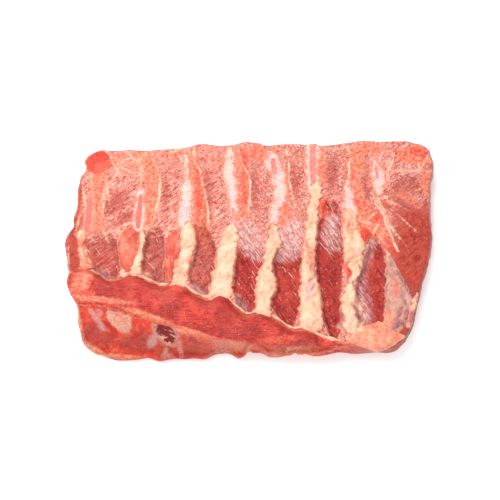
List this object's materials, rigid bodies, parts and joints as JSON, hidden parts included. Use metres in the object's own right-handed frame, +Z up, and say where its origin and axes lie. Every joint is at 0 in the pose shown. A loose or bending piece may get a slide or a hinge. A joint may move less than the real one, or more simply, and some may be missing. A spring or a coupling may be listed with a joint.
{
  "type": "raw rack of ribs",
  "caption": "Square-cut slab of raw pork ribs, laid bone side up: sliced rib bones run through it to the sawn rear edge, and a long muscle crosses the front.",
  "frame": {"origin": "centre of the bounding box in plan, at the height of the underside", "axes": "+X across the ribs, along the slab's length; +Y from the thick backbone edge to the sawn rib ends; +Z up, out of the bone side"},
  "size_m": [0.2995, 0.1805, 0.0438],
  "materials": {
    "meat": "raw muscle, damp, pink where it is cut and dark red in the hollows",
    "fat": "raw fat, cream to peach, waxy and soft",
    "bone": "sawn bone, pale lilac rim round pink marrow"
  },
  "bodies": {
    "root": {"meat": "meat", "rib_1": "bone", "rib_2": "bone", "rib_3": "bone", "rib_4": "bone", "rib_5": "bone", "rib_6": "bone", "rib_7": "bone", "rib_8": "bone"}
  },
  "joints": []
}
